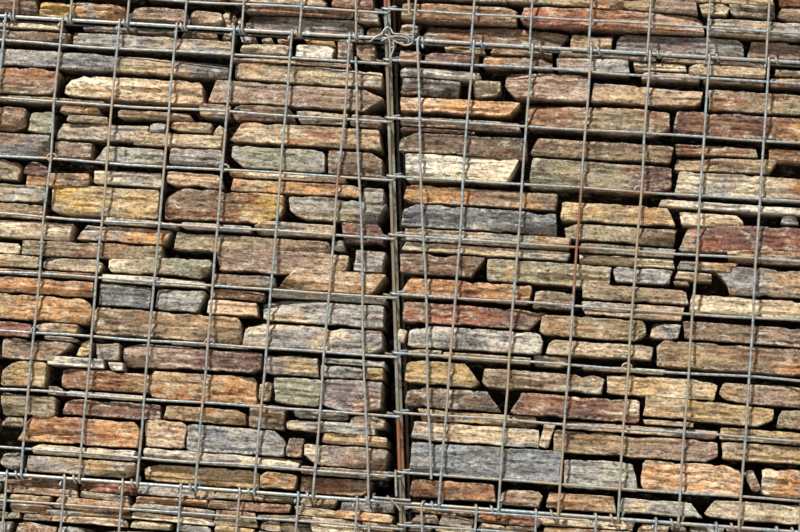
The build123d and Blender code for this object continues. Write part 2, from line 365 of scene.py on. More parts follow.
def addSlab(pile, place, x0, x1, z0, z1, tone, rise=0.0, left=0.0, right=0.0, rounding=None,
            tip=None, back=None, depth=None):
    rng = pile["rng"]
    length, height = x1 - x0, z1 - z0
    step = slab["fineStep"] if pile["fine"] else slab["coarseStep"]
    across = max(3, round(length / step))
    up = max(4 if pile["fine"] else 2, round(height / (step * 0.75)))
    depth = depth or slab["depth"] * rng.uniform(*slab["depthSpread"])
    if back is None:
        back = rng.uniform(*slab["back"]) + max(0, rng.gauss(0, slab["backScatter"]))
    own = Vector((rng.uniform(0, 9), rng.uniform(0, 9), rng.uniform(0, 9)))
    if rounding is None:
        rounding = rng.uniform(*slab["rounding"])
    radius = rounding * height / 2
    twist = rng.uniform(-slab["twist"], slab["twist"])
    taper = rng.uniform(-slab["taper"], slab["taper"])
    wander = rng.uniform(*slab["wander"])
    stained = min(1.0, tones[tone][1] * rng.uniform(*slab["iron"]))
    size = min(1.0, height / slab["fullHeight"])
    arris = min(slab["arris"], height * slab["arrisShare"])
    endReach = slab["endCut"] * height / length
    corners = []
    for atStart in (True, False):
        if rng.random() < slab["cornerChance"]:
            upper = rng.random() < slab["upperChance"]
            reach = rng.uniform(*slab["cornerReach"]) * height
            corners.append((atStart, upper, reach, rng.uniform(*slab["cornerDrop"]) * height))
    splits = []
    for number in range(rng.choice(slab["splitCounts"])):
        middle, reach = rng.uniform(0, 1), rng.uniform(*slab["splitReach"])
        splits.append((rng.uniform(*slab["splitLevel"]), middle - reach, middle + reach, rng.choice((-1, 1)),
                       rng.uniform(*slab["splitFall"])))
    planes = [(rng.uniform(-1, 1), rng.uniform(-1, 1), rng.uniform(*slab["planeStart"]),
               rng.uniform(*slab["planeFall"])) for number in range(2)]

    def wave(name, x, z, layer):
        along, upward = slabWaves[name]
        return noise.noise(Vector((x * along, z * upward, layer)) + own)

    def edgeAt(x, edge, key, half):
        notch = floor(3 * wave("notch", x, edge, key)) / 3
        along, upward = slabWaves["jag"]
        jag = (noise.noise(Vector((x * along, key, edge * upward)) + own)
               + noise.noise(Vector((x * slabWaves["ripple"][0], 7, key)) + own))
        return half + size * (slab["notch"] * min(0.0, notch + slab["notchFrom"])
                              + slab["jag"] * (jag - slab["jagIn"]))

    def lay(flatX, flatZ, spread, y):
        # Takes a point of the flat face, from -0.5 to 0.5 both ways, to its place on the stone
        s, t = flatX + 0.5, flatZ + 0.5
        x = x0 + s * length
        x += max(0.0, 1 - s / endReach) * (left * t if left > 0 else -left * (1 - t))
        x -= max(0.0, 1 - (1 - s) / endReach) * (right * t if right > 0 else -right * (1 - t))
        missing = max(0.0, 1 - min(s, 1 - s) * length / radius)
        half = height / 2 * (1 + taper * (2 * s - 1)) - radius * (1 - (1 - missing ** 2) ** 0.5)
        ceiling, ground = edgeAt(x, z1, 3, half), edgeAt(x, z0, 8, half)
        for atStart, upper, reach, drop in corners:
            cut = drop * max(0.0, 1 - (s if atStart else 1 - s) * length / reach)
            if upper:
                ceiling -= cut
            else:
                ground -= cut
        z = (z0 + z1) / 2 + rise * (s - 0.5) - ground + t * (ceiling + ground)
        probe = Vector((x * slabWaves["outline"][0], z * slabWaves["outline"][1], 0)) + own
        z += slab["outline"] * size * noise.noise(probe) * (0.3 + abs(2 * t - 1))
        x += slab["endOutline"] * noise.noise(probe * 1.9 + Vector((5, 3, 1))) * (0.2 + abs(2 * s - 1))
        ledge = slab["ledge"] * max(-1.0, min(1.0, wave("layer", x, z, 2) * slab["ledgeSteep"]))
        bulge = slab["bulge"] * wave("bulge", x, z, 7)
        chips = slab["ledge"] * slab["chips"] * wave("chips", x, z, 4)
        inward = back + slab["ledge"] + slab["bulge"] * 0.6 + ledge + bulge + chips
        inward += twist * (s - 0.5) * length
        for level, first, last, way, fall in splits:
            ragged = slab["splitWander"] * wave("split", x, level, 5)
            if first < s < last and way * (t - level - ragged) > 0:
                inward += fall
        for alongX, alongZ, start, fall in planes:
            past = alongX * (s - 0.5) + alongZ * (t - 0.5) * slab["planeUpward"] - start
            inward += max(0.0, past) * fall * slab["planeDepth"]
        inward = max(slab["shallowest"], inward)
        return Vector((x + (2 * s - 1) * spread, y + inward, z + (2 * t - 1) * spread))

    bm = bmesh.new()
    layers = stoneLayers(bm)
    face, rims = slabShell(bm, across, up)
    colour = shaded(tone, wander, stained)
    veinColour = shaded(rng.choice(companions[tone]), wander, stained)
    for vert in face:
        vert[layers["edge"]] = 1.0 if max(abs(vert.co.x), abs(vert.co.y)) > 0.4999 else 0.0
        vert.co = lay(vert.co.x, vert.co.y, 0.0, 0.0)
    for vert in rims[0]:
        vert[layers["edge"]] = 0.7
        vert.co = lay(vert.co.x, vert.co.y, arris, arris * slab["arrisDepth"])
    for vert in rims[1]:
        vert.co = lay(vert.co.x, vert.co.y, -arris, depth)
    for vert in bm.verts:
        vert[layers["tone"]] = colour
        vert[layers["vein"]] = veinColour
        vert[layers["own"]] = own
    if tip:
        end, tipTone, reach = tip
        tipColour = shaded(tipTone, wander, stained)
        along, upward = slabWaves["tip"]
        for vert in bm.verts:
            fromEnd = vert.co.x - x0 if end == "left" else x1 - vert.co.x
            ragged = 1.2 * noise.noise(Vector((vert.co.x * along, vert.co.z * upward, 5)))
            share = 0.5 + (reach - fromEnd) / slab["tipBlend"] + ragged
            vert[layers["tone"]] = colour.lerp(tipColour, max(0.0, min(1.0, share)))
    # Painted shade: the rear rim of each seen stone is coloured much darker, so the gaps between the stones
    # look shadowed
    if pile["fine"]:
        for vert in rims[1]:
            vert[layers["tone"]] = vert[layers["tone"]] * slab["rearShade"]
            vert[layers["vein"]] = veinColour * slab["rearShade"]
    bmesh.ops.recalc_face_normals(bm, faces=bm.faces[:])
    bmesh.ops.transform(bm, matrix=place, verts=bm.verts[:])
    mesh = bpy.data.meshes.new("slab")
    bm.to_mesh(mesh)
    bm.free()
    pile["bm"].from_mesh(mesh)
    bpy.data.meshes.remove(mesh)


def nearLevel(middle, half):
    return min(abs(middle - level) - half for level in levels) < slab["levelReach"]


def levelSetback(rng):
    return slab["levelSetback"] + rng.uniform(0, slab["setbackSpread"])


coursing = {
    "thick": 0.031,
    "reach": 0.17,                  # length of a block
    "band": (2.2, 4.6),             # in thicknesses
    "block": (0.65, 1.45),          # in lengths
    "leastBlock": 0.3,
    "slabs": (0.75, 1.25),          # spread of how many slabs a block has
    "heights": (0.6, 1.4),
    "cutFrom": 0.6,                 # blocks longer than this share of the reach may be cut in two
    "cutChance": 0.3,
    "cut": (0.3, 0.7),
    "least": 0.012,
    "wave": 0.005,
    "gap": (0.0010, 0.0036),
    "leftStep": (-0.008, 0.006),    # how far the ends of the slabs in a block stand out or back
    "rightStep": (-0.006, 0.008),
    "atEdge": 0.01,
    "leastHalf": 0.004,
    "rise": 0.0035,
    "endSlant": 0.4,                # in heights
}


def layCourses(pile, place, low, high, leftEdge, rightEdge, thick=coursing["thick"], reach=coursing["reach"],
               back=None):
    # Bands of courses, each cut into blocks of two to five slabs
    rng = pile["rng"]
    z = low
    while z < high - coursing["least"]:
        band = min(rng.uniform(*coursing["band"]) * thick, high - z)
        if high - z - band < thick:
            band = high - z
        x, end = leftEdge(z + band / 2), rightEdge(z + band / 2)
        while x < end - coursing["least"]:
            block = min(rng.uniform(*coursing["block"]) * reach, end - x)
            if end - x - block < coursing["leastBlock"] * reach:
                block = end - x
            count = max(1, round(band / thick * rng.uniform(*coursing["slabs"])))
            shares = [rng.uniform(*coursing["heights"]) for number in range(count)]
            bottom = z
            for share in shares:
                height = band * share / sum(shares)
                cuts = [x, x + block]
                if block > coursing["cutFrom"] * reach and rng.random() < coursing["cutChance"]:
                    cuts.insert(1, x + block * rng.uniform(*coursing["cut"]))
                for start, stop in zip(cuts, cuts[1:]):
                    layOne(pile, place, start, stop, bottom, height, low, high, leftEdge, rightEdge, back)
                bottom += height
            x += block
        z += band


def layOne(pile, place, start, stop, bottom, height, low, high, leftEdge, rightEdge, back):
    rng = pile["rng"]
    wave = coursing["wave"] * noise.noise(Vector((start * 4, bottom * 5, 3)))
    gap = rng.uniform(*coursing["gap"])
    leftStep = rightStep = 0
    if start > leftEdge(bottom) + coursing["atEdge"]:
        leftStep = rng.uniform(*coursing["leftStep"])
    if stop < rightEdge(bottom) - coursing["atEdge"]:
        rightStep = rng.uniform(*coursing["rightStep"])
    first = max(start + leftStep, leftEdge(bottom + height / 2)) + gap
    last = min(stop + rightStep, rightEdge(bottom + height / 2)) - gap
    if last - first < coursing["least"]:
        return
    middle = max(low + height / 2, min(high - height / 2, bottom + height / 2 + wave))
    half = max(coursing["leastHalf"], height / 2 - gap * 0.8)
    if back is None and nearLevel(middle, half):
        back = levelSetback(rng)
    slant = coursing["endSlant"]
    addSlab(pile, place, first, last, middle - half, middle + half, rng.choice(toneBag),
            rise=rng.uniform(-coursing["rise"], coursing["rise"]), left=rng.uniform(-slant, slant) * height,
            right=rng.uniform(-slant, slant) * height, back=back)


sharpAngle = radians(24)        # edges of the stones sharper than this stay sharp


def finishPile(name, pile, node):
    bm = pile["bm"]
    for face in bm.faces:
        face.smooth = True
    for edge in bm.edges:
        if len(edge.link_faces) == 2 and edge.calc_face_angle(0.0) > sharpAngle:
            edge.smooth = False
    mesh = bpy.data.meshes.new(name)
    bm.to_mesh(mesh)
    bm.free()
    mesh.materials.append(schist)
    obj = bpy.data.objects.new(name, mesh)
    bpy.context.scene.collection.objects.link(obj)
    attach(obj, "root")
    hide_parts(node)
    print(name, sum(len(polygon.vertices) - 2 for polygon in mesh.polygons), "triangles")


# Stones of the two middle baskets, listed in millimetres: x from, x to, z from, z to, tone,
# then where it matters how the stone rises to the right, how its ends are cut, and a second tone
middleCourses = {
    "left": [
        (-645, -609, 805, 833, "grey"), (-598, -412, 804, 831, "ochre"), (-400, -200, 803, 833, "buff"),
        (-198, -136, 804, 832, "orange"), (-131, -12, 803, 830, "olive"), (-593, -414, 834, 851, "cream"),
        (-400, -132, 837, 857, "cream"), (-130, 18, 833, 847, "olive"), (-650, -609, 878, 893, "brown"),
        (-800, -660, 805, 850, "tan"), (-800, -660, 855, 895, "buff"), (-735, -665, 900, 940, "rust"),
        (-618, -409, 855, 900, "rust", {"left": 15}), (-400, -331, 860, 907, "peach"),
        (-328, -162, 858, 903, "blue"), (-158, -130, 860, 893, "brown"),
        (-127, 14, 849, 884, "rose", {"tip": ("left", "cream", 40)}), (-98, 12, 887, 905, "buff"),
        (-655, -558, 896, 933, "olive"), (-545, -378, 905, 932, "rust"), (-370, -231, 908, 932, "orange"),
        (-226, -166, 905, 945, "dark"), (-162, -10, 905, 924, "grey"), (-150, -57, 927, 940, "grey"),
        (-52, 5, 918, 938, "buff"), (-574, -546, 936, 951, "tan"), (-542, -410, 936, 946, "cream"),
        (-728, -665, 946, 989, "tan"), (-660, -579, 947, 990, "ochre"), (-554, -404, 950, 984, "ochre"),
        (-400, -216, 942, 990, "orange", {"round": 0.3}), (-212, -192, 952, 985, "cream"),
        (-188, -108, 948, 994, "olive"), (-104, -4, 942, 996, "rose"), (-581, -482, 987, 1003, "white"),
        (-474, -447, 985, 999, "white"), (-728, -666, 993, 1028, "grey"),
        (-661, -540, 993, 1028, "brown", {"right": -30}), (-529, -507, 1004, 1033, "ochre"),
        (-497, -457, 1001, 1031, "buff"),
        (-451, -213, 996, 1033, "maroon", {"tip": ("left", "rose", 130)}),
        (-205, -114, 998, 1030, "ochre"), (-110, -38, 999, 1019, "grey"), (-105, -2, 1022, 1032, "white"),
        (-33, -3, 1000, 1020, "ochre"), (-590, -534, 1029, 1037, "cream"), (-700, -615, 1032, 1056, "red"),
        (-604, -533, 1041, 1059, "buff"), (-507, -251, 1045, 1091, "tan", {"round": 0.35}),
        (-246, -8, 1040, 1083, "cream"), (-370, -236, 1036, 1043, "cream"),
        (-715, -511, 1061, 1104, "orange", {"round": 0.35}), (-501, -411, 1095, 1133, "blue"),
        (-402, -317, 1094, 1131, "white", {"right": -12}), (-313, -225, 1093, 1118, "peach"),
        (-312, -217, 1121, 1136, "rust"), (-219, -10, 1088, 1126, "buff", {"tip": ("right", "grey", 90)}),
        (-715, -511, 1107, 1134, "orange"), (-500, -317, 1136, 1149, "white"),
        (-205, -9, 1129, 1139, "grey"), (-712, -509, 1137, 1147, "orange"),
        (-685, -608, 1150, 1171, "tan"), (-603, -500, 1150, 1172, "buff"),
        (-489, -311, 1153, 1184, "olive", {"tip": ("left", "cream", 40), "round": 0.3}),
        (-308, -200, 1141, 1162, "brown"), (-194, -12, 1143, 1180, "peach", {"left": 20, "right": -22}),
        (-710, -644, 1172, 1191, "cream"), (-640, -397, 1175, 1201, "olive", {"rise": 6}),
        (-303, -79, 1168, 1209, "tan"), (-68, -16, 1182, 1218, "olive"), (-715, -557, 1201, 1231, "buff"),
        (-548, -386, 1205, 1232, "orange", {"left": 14}), (-380, -110, 1199, 1229, "olive"),
        (-107, -87, 1214, 1234, "olive"), (-505, -378, 1235, 1246, "cream"),
        (-371, -249, 1236, 1247, "buff"), (-244, -105, 1236, 1258, "buff"),
        (-95, -21, 1231, 1263, "maroon"), (-700, -610, 1236, 1260, "tan"),
        (-700, -610, 1263, 1293, "olive"),
        (-601, -412, 1248, 1299, "ochre", {"tip": ("left", "gold", 60)}),
        (-402, -195, 1252, 1305, "rust", {"tip": ("right", "gold", 60)}),
        (-189, -22, 1264, 1304, "olive", {"right": -18}), (-715, -656, 1300, 1335, "olive"),
        (-651, -609, 1312, 1335, "maroon"), (-646, -536, 1295, 1318, "orange", {"rise": 6}),
        (-529, -409, 1304, 1328, "grey", {"tip": ("left", "cream", 40)}),
        (-402, -304, 1309, 1332, "peach"), (-289, -66, 1307, 1328, "orange"),
        (-62, -28, 1300, 1326, "olive"), (-295, -95, 1331, 1343, "peach"),
        (-725, -610, 1340, 1382, "brown"), (-601, -536, 1346, 1373, "rose"),
        (-530, -408, 1343, 1371, "green", {"left": 14}), (-400, -307, 1346, 1374, "rose"),
        (-292, -130, 1347, 1384, "green"), (-126, -33, 1345, 1386, "rose"),
        (-600, -441, 1379, 1408, "grey", {"rise": 5}), (-465, -312, 1376, 1399, "buff"),
        (-725, -656, 1386, 1427, "brown"), (-651, -607, 1386, 1422, "olive"),
        (-584, -511, 1408, 1420, "olive"), (-438, -411, 1398, 1414, "grey"),
        (-402, -332, 1403, 1420, "tan"), (-326, -308, 1393, 1418, "buff"),
        (-300, -38, 1392, 1426, "rust", {"left": 16, "tip": ("left", "buff", 120)}),
        (-597, -530, 1423, 1435, "rose"), (-496, -367, 1421, 1434, "tan"), (-357, -302, 1431, 1453, "tan"),
        (-299, -189, 1430, 1455, "brown"), (-187, -98, 1430, 1451, "tan"), (-94, -38, 1430, 1450, "olive"),
        (-725, -522, 1437, 1448, "olive"), (-730, -606, 1451, 1497, "brown"),
        (-592, -352, 1451, 1490, "cream", {"round": 0.3, "tip": ("right", "peach", 110)}),
        (-342, -42, 1457, 1495, "rose", {"left": 12, "right": -30}),
        (-730, -312, 1500, 1528, "grey", {"tip": ("right", "buff", 200)}), (-299, -45, 1500, 1529, "buff"),
        (-310, -102, 1532, 1539, "buff"), (-740, -592, 1541, 1562, "brown", {"right": -12}),
        (-588, -308, 1541, 1565, "grey"), (-295, -210, 1547, 1563, "cream"),
        (-198, -132, 1543, 1566, "white"), (-126, -100, 1545, 1575, "tan"),
        (-97, -62, 1543, 1573, "brown"), (-740, -607, 1566, 1576, "cream"),
        (-573, -407, 1569, 1580, "dark"), (-400, -338, 1569, 1580, "brown"),
        (-330, -308, 1569, 1580, "tan"), (-298, -268, 1567, 1578, "rose"),
        (-260, -240, 1568, 1578, "cream"), (-234, -211, 1568, 1578, "orange"),
        (-185, -132, 1569, 1579, "ochre"), (-128, -70, 1577, 1583, "dark"),
    ],
    "right": [
        (56, 201, 807, 838, "rust"), (208, 278, 806, 833, "rose"), (287, 403, 805, 833, "peach"),
        (408, 547, 807, 832, "buff", {"right": 18, "tip": ("right", "sage", 60)}),
        (550, 730, 809, 840, "cream", {"left": 16}), (52, 306, 846, 901, "blue"),
        (310, 437, 843, 891, "sage", {"right": 12}), (441, 611, 846, 898, "peach", {"round": 0.3}),
        (616, 636, 858, 903, "brown", {"left": -10, "right": 10}),
        (641, 730, 852, 898, "orange", {"tip": ("left", "cream", 20)}), (52, 267, 904, 935, "buff"),
        (60, 262, 938, 957, "tan"), (270, 289, 905, 948, "grey"),
        (291, 566, 900, 937, "rust", {"tip": ("right", "rose", 130)}), (300, 563, 940, 954, "peach"),
        (571, 730, 908, 937, "ochre"), (568, 725, 940, 961, "buff"),
        (36, 199, 960, 994, "brown", {"right": 25, "tip": ("right", "buff", 50)}),
        (216, 431, 958, 996, "maroon", {"left": 16, "tip": ("right", "cream", 30)}),
        (437, 653, 968, 1002, "buff", {"rise": -6}), (437, 522, 957, 966, "tan"),
        (659, 725, 966, 998, "olive"), (34, 158, 999, 1038, "ochre", {"right": 22}),
        (163, 368, 1001, 1032, "olive", {"tip": ("right", "sage", 60)}), (374, 557, 1004, 1037, "buff"),
        (562, 725, 1003, 1037, "tan"), (34, 92, 1045, 1057, "olive"), (95, 243, 1044, 1055, "buff"),
        (247, 305, 1043, 1061, "buff"), (330, 470, 1042, 1051, "cream"), (17, 30, 1067, 1092, "cream"),
        (33, 261, 1061, 1098, "white"), (268, 446, 1064, 1089, "cream", {"tip": ("right", "rose", 80)}),
        (452, 720, 1056, 1100, "tan", {"tip": ("right", "orange", 90)}),
        (22, 262, 1102, 1136, "red", {"right": -25, "tip": ("right", "maroon", 100)}),
        (255, 433, 1095, 1130, "tan", {"round": 0.3}), (440, 490, 1102, 1128, "peach"),
        (494, 720, 1104, 1135, "olive", {"tip": ("right", "rose", 110)}),
        (13, 236, 1145, 1178, "red", {"left": 14, "tip": ("right", "buff", 45)}),
        (240, 308, 1140, 1170, "olive"), (322, 494, 1134, 1157, "peach"), (502, 715, 1150, 1181, "buff"),
        (320, 500, 1161, 1187, "olive"), (8, 153, 1185, 1219, "rust", {"right": -22}),
        (158, 366, 1181, 1218, "olive", {"tip": ("left", "ochre", 50)}), (372, 470, 1193, 1219, "grey"),
        (474, 536, 1205, 1217, "cream"), (472, 500, 1195, 1202, "rose"),
        (535, 715, 1186, 1231, "tan", {"left": -26}), (10, 297, 1223, 1238, "grey"),
        (10, 296, 1241, 1262, "grey", {"tip": ("right", "orange", 60)}), (311, 473, 1222, 1237, "buff"),
        (311, 473, 1240, 1255, "olive"), (478, 578, 1221, 1237, "tan", {"right": -12}),
        (560, 715, 1240, 1262, "brown", {"rise": 5}), (6, 271, 1265, 1303, "slate"),
        (285, 472, 1260, 1287, "olive"),
        (478, 715, 1254, 1303, "red", {"rise": 5, "left": 16, "tip": ("left", "cream", 24)}),
        (277, 469, 1292, 1324, "ochre", {"right": 14}), (475, 583, 1297, 1319, "cream"),
        (645, 675, 1309, 1324, "cream"), (680, 725, 1307, 1323, "olive"), (8, 268, 1307, 1336, "orange"),
        (440, 715, 1325, 1337, "cream"), (5, 198, 1347, 1391, "white", {"rise": 4, "right": -16}),
        (218, 458, 1345, 1394, "green", {"tip": ("right", "maroon", 70)}),
        (465, 710, 1346, 1387, "cream", {"tip": ("right", "orange", 80)}), (-6, 212, 1392, 1426, "dark"),
        (217, 458, 1400, 1429, "brown", {"left": 12}),
        (462, 632, 1391, 1414, "tan", {"rise": 6, "right": -12}), (617, 710, 1416, 1436, "orange"),
        (460, 600, 1418, 1435, "olive"), (-8, 120, 1428, 1434, "rust"), (-9, 198, 1437, 1453, "plum"),
        (206, 450, 1444, 1488, "olive", {"tip": ("left", "rust", 70)}),
        (455, 710, 1449, 1490, "maroon", {"tip": ("right", "orange", 90)}),
        (-12, 192, 1462, 1488, "peach", {"right": -14}), (-12, 88, 1491, 1519, "dark"),
        (111, 158, 1495, 1522, "olive"), (166, 309, 1497, 1541, "rose"), (313, 501, 1497, 1528, "rose"),
        (511, 710, 1496, 1530, "olive"), (-14, 123, 1522, 1538, "white"), (-20, 18, 1546, 1566, "tan"),
        (24, 118, 1547, 1566, "maroon"), (124, 243, 1547, 1567, "maroon", {"tip": ("left", "orange", 30)}),
        (249, 375, 1548, 1572, "rose"), (380, 471, 1558, 1571, "cream"), (395, 493, 1543, 1555, "peach"),
        (475, 604, 1554, 1572, "tan"), (500, 603, 1543, 1551, "tan"), (611, 700, 1543, 1557, "orange"),
        (620, 700, 1560, 1572, "olive"), (55, 128, 1570, 1582, "tan"), (135, 240, 1572, 1582, "brown"),
        (250, 420, 1575, 1583, "dark"), (425, 600, 1575, 1583, "brown"),
    ],
}
outerBound = {"left": -710, "right": 690}       # beyond these the middle courses run on at random

# The lowest courses of the top baskets
upperCourses = {
    "left": [
        (-650, -598, 1590, 1617, "gold"), (-594, -500, 1592, 1616, "orange"),
        (-492, -392, 1592, 1615, "rose"), (-386, -330, 1594, 1614, "peach"),
        (-327, -318, 1590, 1624, "buff"), (-315, -307, 1590, 1626, "tan"),
        (-304, -295, 1591, 1622, "buff"), (-290, -104, 1618, 1629, "rust"),
        (-288, -86, 1588, 1616, "plum"), (-98, -58, 1612, 1630, "tan"), (-80, -50, 1588, 1606, "olive"),
    ],
    "right": [
        (-22, 10, 1592, 1612, "tan"), (16, 264, 1588, 1618, "rose", {"left": 10, "right": -12}),
        (-22, 177, 1622, 1651, "rust"), (183, 495, 1624, 1656, "red", {"tip": ("right", "rose", 120)}),
        (271, 342, 1588, 1614, "buff"), (347, 565, 1588, 1621, "plum", {"tip": ("right", "grey", 80)}),
        (500, 655, 1625, 1652, "grey"), (571, 657, 1589, 1621, "tan"),
    ],
}
upperReach = {"left": 1.632, "right": 1.658}        # where the random courses of the top baskets begin
upperBound = {"left": -0.652, "right": 0.660}
byHand = {
    "endGap": 1.0,          # millimetres between the stones
    "bedGap": 1.3,
    "runOn": 0.050,         # a course that ends this near its bound, in metres, runs on to it
    "endSlant": 5,
}


def layByHand(pile, place, courses, bound):
    rng = pile["rng"]
    gaps = (byHand["endGap"], -byHand["endGap"], byHand["bedGap"], -byHand["bedGap"])
    for course in courses:
        x0, x1, z0, z1 = ((value + gap) / 1000 for value, gap in zip(course[:4], gaps))
        if bound < 0 and x0 < bound + byHand["runOn"]:
            x0 = bound
        if bound > 0 and x1 > bound - byHand["runOn"]:
            x1 = bound
        extra = course[5] if len(course) > 5 else {}
        tip = extra.get("tip")
        back = levelSetback(rng) if nearLevel((z0 + z1) / 2, (z1 - z0) / 2) else None
        slants = {side: extra.get(side, rng.uniform(-byHand["endSlant"], byHand["endSlant"])) / 1000
                  for side in ("left", "right")}
        addSlab(pile, place, x0, x1, z0, z1, course[4], rise=extra.get("rise", 0) / 1000, **slants,
                rounding=extra.get("round"), tip=tip and (tip[0], tip[1], tip[2] / 1000), back=back)


def turned(face, reach):
    # Takes stones laid towards -Y to another face of the wall, which stands this far from its middle
    turns = {"front": Matrix.Identity(4), "back": Matrix.Rotation(pi, 4, "Z"),
             "right": Matrix.Rotation(pi / 2, 4, "Z"), "left": Matrix.Rotation(-pi / 2, 4, "Z"),
             "top": Matrix.Rotation(-pi / 2, 4, "X")}
    return turns[face] @ Matrix.Translation((0, -reach, 0))


basket = {
    "jointRoom": 0.013,         # stones stop this far from the middle of the joint
    "outerOverlap": {"left": -0.020, "right": 0.035},
    "seam": 0.002,
    "closeBand": 0.075,         # height of the finely cut band next to the middle baskets
    "closeThick": 0.017,
    "closeReach": 0.11,
    "fineBand": 0.15,
    "endInset": 0.8,            # of a slab's depth, so that the ends' stones clear the face's
    "topInset": 0.2,
    "topThick": 0.075,
    "topReach": 0.15,
    "topBack": 0.002,
}


def fillBasket(side, tier, number):
    sign = signs[side]
    node = f"stone_fill_{side}_{tier}"
    low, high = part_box(node)
    outer = high.x if sign > 0 else -low.x
    facing = high.y

    def near(z):
        return jointX(z) + sign * basket["jointRoom"]

    def layBetween(pile, bottom, top, innerEdge, **sizes):
        edges = (lambda z: -outer, innerEdge) if sign < 0 else (innerEdge, lambda z: outer)
        layCourses(pile, place, bottom, top, *edges, **sizes)

    front = newPile(100 + number, fine=True)
    place = turned("front", facing + slab["lean"])
    if tier == "middle":
        bound = outerBound[side] / 1000 + basket["outerOverlap"][side]
        layByHand(front, place, middleCourses[side], bound)
        layBetween(front, low.z, high.z, lambda z: bound)
    elif tier == "top":
        layByHand(front, place, upperCourses[side], upperBound[side])
        reach = upperReach[side]
        layBetween(front, low.z, reach - basket["seam"], lambda z: upperBound[side])
        layBetween(front, reach, low.z + basket["fineBand"], near)
        front["fine"] = False
        layBetween(front, low.z + basket["fineBand"] + basket["seam"], high.z, near)
    else:
        seam = high.z - basket["closeBand"]
        layBetween(front, seam, high.z, near, thick=basket["closeThick"], reach=basket["closeReach"])
        front["fine"] = False
        layBetween(front, low.z, seam - basket["seam"], near)
    finishPile(f"frontStones_{side}_{tier}", front, node)

    rear = newPile(200 + number)
    rearEdges = (lambda z: -near(z), lambda z: outer) if sign < 0 else (lambda z: -outer, lambda z: -near(z))
    layCourses(rear, turned("back", facing), low.z, high.z, *rearEdges)
    finishPile(f"backStones_{side}_{tier}", rear, node)

    end = newPile(300 + number)
    inset = facing - slab["depth"] * basket["endInset"]
    layCourses(end, turned(side, outer), low.z, high.z, lambda z: -inset, lambda z: inset)
    finishPile(f"endStones_{side}_{tier}", end, node)

    inner = newPile(400 + number)
    addCore(inner, sign, low, high, outer, facing, near)
    fillJoint(inner, sign, tier, low.z, high.z)
    if tier == "top":
        first, last = sorted((sign * (outer - inset * basket["topInset"]), near(high.z)))
        layCourses(inner, turned("top", high.z), -inset, inset, lambda y: first, lambda y: last,
                   thick=basket["topThick"], reach=basket["topReach"], back=basket["topBack"])
    finishPile(f"innerStones_{side}_{tier}", inner, node)


core = {
    "inset": 0.075,         # behind the stones' faces
    "jointInset": 0.020,
    "footInset": 0.020,
    "headInset": 0.030,
    "cuts": 7,
    "waves": 14,            # a metre
    "wave": 0.014,
    "seed": 5,              # noise vectors differ from run to run without one
    "stained": 0.2,
}


def addCore(pile, sign, low, high, outer, facing, near):
    # A lump inside the basket, so that nothing shows through between the stones; its near-black colour is
    # painted shade of the dark inside
    bm = pile["bm"]
    layers = stoneLayers(bm)
    bmesh.ops.create_cube(bm, size=1.0)
    bmesh.ops.subdivide_edges(bm, edges=bm.edges[:], cuts=core["cuts"], use_grid_fill=True)
    # Painted shade: the core takes the near-black colour, standing in for shade between the stones
    colour = linear(schistLook["dark"])[:3] + (core["stained"],)
    noise.seed_set(core["seed"])
    for vert in bm.verts:
        s, y, t = vert.co.x + 0.5, vert.co.y, vert.co.z + 0.5
        z = low.z + core["footInset"] + t * (high.z - low.z - core["footInset"] - core["headInset"])
        inner = near(z) + sign * core["jointInset"]
        x = inner + s * (sign * (outer - core["inset"]) - inner)
        vert.co = Vector((x, y * 2 * (facing - core["inset"]), z))
        vert.co += noise.noise_vector(vert.co * core["waves"]) * core["wave"]
        vert[layers["tone"]] = colour
        vert[layers["vein"]] = colour
        vert[layers["own"]] = Vector((sign, t, 0))
    bmesh.ops.recalc_face_normals(bm, faces=bm.faces[:])


# Stones inside that lean through the partition mesh, in turn from the left and the right
jointStones = {
    "height": (0.024, 0.040),
    "inside": 0.045,
    "past": 0.022,              # beyond the middle of the joint
    "lap": 0.006,
    "depth": 0.080,             # between two bars of the mesh
    "faces": {-1: 0.140, 1: -0.060},
}


def fillJoint(pile, sign, tier, bottom, top):
    rng = random.Random(tier)
    place = turned("front", jointStones["faces"][sign])
    own = sign < 0
    while bottom < top - jointStones["height"][0]:
        height = rng.uniform(*jointStones["height"])
        tone = rng.choice(toneBag)
        if own:
            joint = jointX(bottom + height / 2)
            ends = sorted((joint + sign * jointStones["inside"], joint - sign * jointStones["past"]))
            foot, head = bottom - jointStones["lap"], min(top, bottom + height + jointStones["lap"])
            addSlab(pile, place, *ends, foot, head, tone, back=0.0, depth=jointStones["depth"])
        own = not own
        bottom += height


for number, (side, tier) in enumerate((side, tier) for side in signs for tier in tiers):
    fillBasket(side, tier, number)
print("stones laid")


# Hot-dip galvanised steel wire: grey-white zinc with a faint spangle, tan where wet stone stained it
galvanisedLook = {
    "zinc": "#9AA2A2",
    "dull": "#6B7171",
    "tan": "#9A876E",
    "filmAndShade": "#756A54",          # dirt on the old rods, and painted shade of the joint they stand in
    "rust": "#84502F",
    "metallic": 0.4,
    "roughness": 0.48,
    "spangle": 0.006,           # metres
    "blotch": 0.045,
    "spangleRamp": ((0.38, 0.0), (0.62, 1.0)),
    "dustRamp": ((0.44, 0.0), (0.60, 0.75)),
    "filmAndShadeRamp": ((0.36, 0.315), (0.52, 0.9)),
    "rustRamp": ((0.34, 0.2), (0.50, 0.9)),
    "rustBands": ((0.890, 0.045), (0.470, 0.060), (1.690, 0.050)),      # heights and half heights, metres
    "relief": 0.0004,
    "reliefStrength": 0.25,
}


